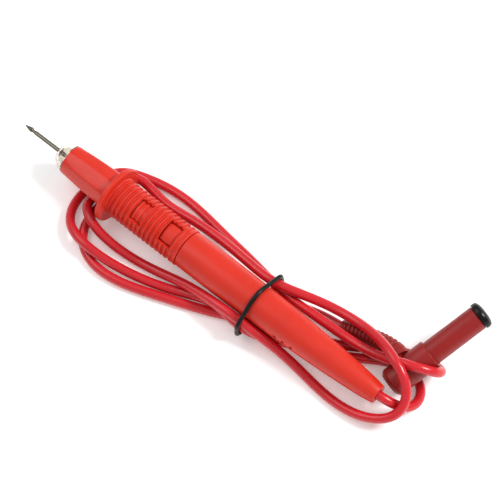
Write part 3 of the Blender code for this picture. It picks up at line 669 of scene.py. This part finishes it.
# ---- latch tongue with its pad ----
tongue = put("tongue", sector_mesh("tongue", -14.8, -2.9, 4.72, 5.58, 43.5, 24), PROBE_M, red_shell)
soften(tongue, 0.12)
stand_in(tongue, LATCH, "red_shell", "latch_tongue")
pad = put("latch_pad", sector_mesh("latch_pad", -14.5, -9.1, 5.2, 6.6, 34.0, 28, 0.2, 12), PROBE_M, pad_grain)
soften(pad, 0.15, 2)
stand_in(pad, LATCH, "red_shell")

# ---- sleeve tube with the key that fills the front window ----
tube_in, tube_out = 4.6, 5.7
slider = turned("slider",
                [(tube_in, -58.0), (tube_out, -58.0), (tube_out, 0.0), (tube_in, 0.0)], TURNED, red_shell, 0.1, 96, True)
cut(slider, cutter_from(sector_mesh("c", -29.0, -23.6, 5.2, 6.35, 36.0, 24), PROBE_M), "UNION")
for x in (-28.6, -26.4, -24.6):
    cut(slider, cutter_from(sector_mesh("c", x, x + 0.9, 5.9, 6.8, 35.5, 24), PROBE_M), "UNION")
cut(slider, cutter_from(block(-15.1, -4.2, 1.6, -2.6, 4.2, 7.0), PROBE_M))
stand_in(slider, SLEEVE, "red_shell", "slider_tube")

# ---- handle shells ----
h = [(6.0, -4.7, 0.1), (7.7, -4.7, 0.3), (7.7, 10, 8), (7.62, 24, 8), (7.37, 36, 8), (6.97, 48, 8), (6.47, 58, 6),
     (5.92, 68, 6), (5.17, 78, 6), (4.55, 84, 4), (3.85, TAIL_X, 0.4), (2.3, TAIL_X, 0.15), (2.3, 74.0, 0.1), (3.3, 73.0, 0.1),
     (3.3, 63.5, 0.1), (4.2, 60, 0.1), (5.5, 48, 0.1), (5.6, 10.5, 0.1), (2.45, 10.5, 0.1), (2.45, 4.6, 0.1),
     (4.95, 4.6, 0.1), (4.95, 1.8, 0.1), (6.0, 1.8, 0.1)]
for name, low, high in (("upper", 0.10, 14), ("lower", -14, -0.10)):
    shell = turned("shell_" + name, h, TURNED, red_shell, 0.3, 120, True)
    cut(shell, cutter_from(block(-12, -12, low, 96, 12, high), SEAM_M), "INTERSECT")
    if name == "upper":
        for x in (43.6, 47.3, 51.1):
            cut(shell, cutter_from(block(x, -9, -0.4, x + 1.3, -6.0, 1.25), SEAM_M))
    soften(shell, 0.13, 2, 50)
    stand_in(shell, LEAD, "red_shell", "handle_shell_" + name)

# ---- plug ----
body = turned("plug_shell",
              [(0, 0), (4.2, 0, 1.0), (PLUG_R, 1.4, 1.6), (PLUG_R, PLUG_LEN, 0.3), (5.05, PLUG_LEN, 0.15),
               (5.05, 5.0, 0.1), (0, 5.0)],
              PLUG_M, plug_red, 0.3, 112)
cut(body, cutter_from(turned_mesh("c", [(0, -1.0), (2.9, -1.0), (2.9, 8.0), (0, 8.0)], 48), ARM_M))
stand_in(body, LEAD, "plug_red", "plug_body")
stand_in(
    turned("shroud",
           [(SHROUD_IN_R, 13.2), (SHROUD_R, 13.2), (SHROUD_R, SHROUD_END, 0.35), (SHROUD_IN_R, SHROUD_END, 0.2)],
           PLUG_M, plug_red, 0.1, 112, True),
    LEAD, "plug_red", "plug_shroud",
)
stand_in(
    turned("cap_fine",
           [(0, 41.9), (2.5, 41.9), (2.5, 37.5), (3.3, 37.5), (3.3, 41.9, 0.1), (CAP_R, 41.9, 0.25),
            (CAP_R, 43.5, 0.5), (5.0, 44.2, 0.4), (4.2, 44.72, 0.2), (4.0, 44.6, 0.15), (3.75, 44.85, 0.2),
            (2.2, 45.15, 0.6), (0, 45.2)],
           PLUG_M, black_satin, 0.1, 112),
    CAP, "black_plastic", "plug_cap",
)

# ---- plain raised ring on the side of the plug's body that faces up ----
side = Vector((0.2825, -0.335, 0.899)) - Vector(tuple(DS)) * float(np.dot(DS, (0.2825, -0.335, 0.899)))
side.normalize()
across = Vector(tuple(DS)).cross(side)
mark = []
for k in range(64):
    t = 2 * math.pi * k / 64
    s, e = 2.0 * math.sin(t) / PLUG_R, 4.8 + 2.0 * math.cos(t)
    at = Vector(tuple(P0)) + Vector(tuple(DS)) * e + (side * math.cos(s) + across * math.sin(s)) * (PLUG_R - 0.02)
    mark.append(tuple(at))
emboss = swept("plug_ring", mark, 0.2, plug_red, 4, cyclic=True)
stand_in(emboss, LEAD, "plug_red")

# ---- ribbed boot ----
way = even(boot_way(3.6)[12:], 220)
base = np.interp(np.linspace(0, 1, 220), [0, 0.12, 0.35, 0.58, 0.8, 1.0], [4.35, 4.3, 3.9, 3.4, 3.0, 2.75])
radii = []
for i, r in enumerate(base):
    s = i / 219.0
    w = 0.5 - 0.5 * math.cos(2 * math.pi * (s * 15.0))
    groove = w ** 3 if 0.14 < s < 0.96 else 0.0
    radii.append(float(r) - 0.5 * groove)
stand_in(swept("boot", way, 4.0, plug_red, 10, radii), LEAD, "plug_red", "plug_boot")

# ---- inner pieces keep their CAD shape ----
for node, mat in {
    "needle_insulator": dark_inner, "contact_holder": brass, "conductor": copper, "cable_clamp": steel,
    "plug_insert": dark_inner, "plug_pin": brass, "plug_spring": brass,
    "plug_terminal": brass,
}.items():
    plain(node, mat)

# ---- floor, light, camera ----
floor_mesh = bpy.data.meshes.new("floor")
floor_mesh.from_pydata([(-3, -3, 0), (3, -3, 0), (3, 3, 0), (-3, 3, 0)], [], [(0, 1, 2, 3)])
floor = bpy.data.objects.new("floor", floor_mesh)
bpy.context.scene.collection.objects.link(floor)
paper = Nodes("paper", IOR=1.4)
paper.colour(paper.ramp(paper.noise(2.0, 2), [(0.3, (0.94, 0.94, 0.94, 1)), (0.7, (0.96, 0.96, 0.96, 1))]))
paper.s.inputs["Roughness"].default_value = 0.9
paper.s.inputs["Specular IOR Level"].default_value = 0.1
paper.s.inputs["Emission Color"].default_value = (1, 1, 1, 1)
paper.s.inputs["Emission Strength"].default_value = 0.20
floor_mesh.materials.append(paper.m)

world = bpy.data.worlds.new("studio")
bpy.context.scene.world = world
world.use_nodes = True
world.node_tree.nodes["Background"].inputs["Color"].default_value = (1, 1, 1, 1)
world.node_tree.nodes["Background"].inputs["Strength"].default_value = 0.58


def lamp(name, at, aim, size, power, colour=(1, 1, 1)):
    light = bpy.data.lights.new(name, "AREA")
    light.shape = "DISK"
    light.size = size
    light.energy = power
    light.color = colour
    obj = bpy.data.objects.new(name, light)
    obj.location = at
    obj.rotation_euler = (Vector(aim) - Vector(at)).to_track_quat("-Z", "Y").to_euler()
    bpy.context.scene.collection.objects.link(obj)


lamp("key", (0.62, 0.55, 0.95), (0, 0, 0), 0.42, 12.0)
lamp("fill", (-0.6, -0.2, 0.9), (0, 0, 0), 0.8, 3.0)

cam = bpy.data.cameras.new("camera")
cam.sensor_width = 36.0
cam.lens = 167.602
cam.clip_start = 0.01
cam.clip_end = 20
shot = bpy.data.objects.new("camera", cam)
right, up, forward = Vector((0.76466, 0.64444, 0)), Vector((-0.57922, 0.68727, 0.43837)), Vector((-0.28250, 0.33520, -0.89879))
turn = Matrix((right, up, -forward)).transposed().to_4x4()
shot.matrix_world = Matrix.Translation((0.26427, -0.28229, 0.80891)) @ turn
bpy.context.scene.collection.objects.link(shot)
bpy.context.scene.camera = shot
bpy.context.scene.view_settings.view_transform = "Standard"
